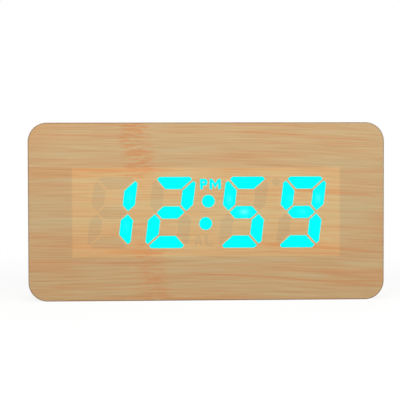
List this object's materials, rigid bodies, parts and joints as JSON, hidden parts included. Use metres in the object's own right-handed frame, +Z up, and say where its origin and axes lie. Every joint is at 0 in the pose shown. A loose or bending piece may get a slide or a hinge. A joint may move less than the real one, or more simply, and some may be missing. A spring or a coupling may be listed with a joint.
{
  "type": "digital alarm clock",
  "caption": "Rounded wooden block alarm clock with slanted cyan digits glowing through a bamboo-grain front, rear buttons, sound holes, power socket and a hinged battery door.",
  "frame": {"origin": "middle of the base, on the surface that the clock stands on", "axes": "+X along the width, to the right as seen from the front; +Y from the front face to the back; +Z up"},
  "size_m": [0.15, 0.042, 0.075],
  "materials": {
    "bamboo_film": "satin printed wood-grain film",
    "fibreboard": "bare fibreboard",
    "lit_guide": "clear light guide, lit cyan",
    "unlit_guide": "clear light guide, unlit",
    "reflector_white": "matt white moulding",
    "board": "lacquered circuit board",
    "lamp": "moulded lamp package",
    "steel_screw": "zinc-plated",
    "chip": "moulded",
    "can": "bare drawn can",
    "black_plastic": "fine-textured moulding",
    "button_plastic": "satin moulding",
    "switch_plastic": "moulded",
    "contact": "nickel-plated strip",
    "pin_metal": "plated pin",
    "sensor_bead": "dipped bead",
    "cable_grey": "ribbon insulation",
    "header_white": "moulded",
    "cell_jacket": "printed plain jacket",
    "wire_red": "wire insulation",
    "wire_black": "wire insulation"
  },
  "bodies": {
    "case": {"case_body": "fibreboard", "side_wrap": "bamboo_film", "front_sheet": "bamboo_film", "lit_segments": "lit_guide", "unlit_segments": "unlit_guide", "display_reflector": "reflector_white", "display_board": "board", "segment_leds": "lamp", "display_screws": "steel_screw", "controller_chip": "chip", "clock_crystal": "can", "smoothing_capacitor": "can", "rear_cover": "black_plastic", "cover_screws": "steel_screw", "switch_bodies": "switch_plastic", "key_board": "board", "key_board_screws": "steel_screw", "buzzer": "black_plastic", "power_socket": "black_plastic", "socket_pin": "pin_metal", "temperature_sensor": "sensor_bead", "board_cable": "cable_grey", "cable_headers": "header_white", "battery_cells": "cell_jacket", "battery_plates": "contact", "battery_springs": "contact", "battery_lead_red": "wire_red", "battery_lead_black": "wire_black"},
    "set_button": {"set_button": "button_plastic", "set_plunger": "switch_plastic"},
    "up_button": {"up_button": "button_plastic", "up_plunger": "switch_plastic"},
    "down_button": {"down_button": "button_plastic", "down_plunger": "switch_plastic"},
    "battery_door": {"battery_door": "black_plastic"}
  },
  "joints": [
    {"name": "set_press", "type": "slide", "parent": "case", "child": "set_button", "axis": [0, -1, 0], "range_m": [0, 0.0005], "stiffness_N_per_m": 1200, "springref_m": -0.0008},
    {"name": "up_press", "type": "slide", "parent": "case", "child": "up_button", "axis": [0, -1, 0], "range_m": [0, 0.0005], "stiffness_N_per_m": 1200, "springref_m": -0.0008},
    {"name": "down_press", "type": "slide", "parent": "case", "child": "down_button", "axis": [0, -1, 0], "range_m": [0, 0.0005], "stiffness_N_per_m": 1200, "springref_m": -0.0008},
    {"name": "battery_door_hinge", "type": "hinge", "parent": "case", "child": "battery_door", "pos_m": [0, 0.0179, 0.0104], "axis": [-1, 0, 0], "range_deg": [0, 90]}
  ]
}
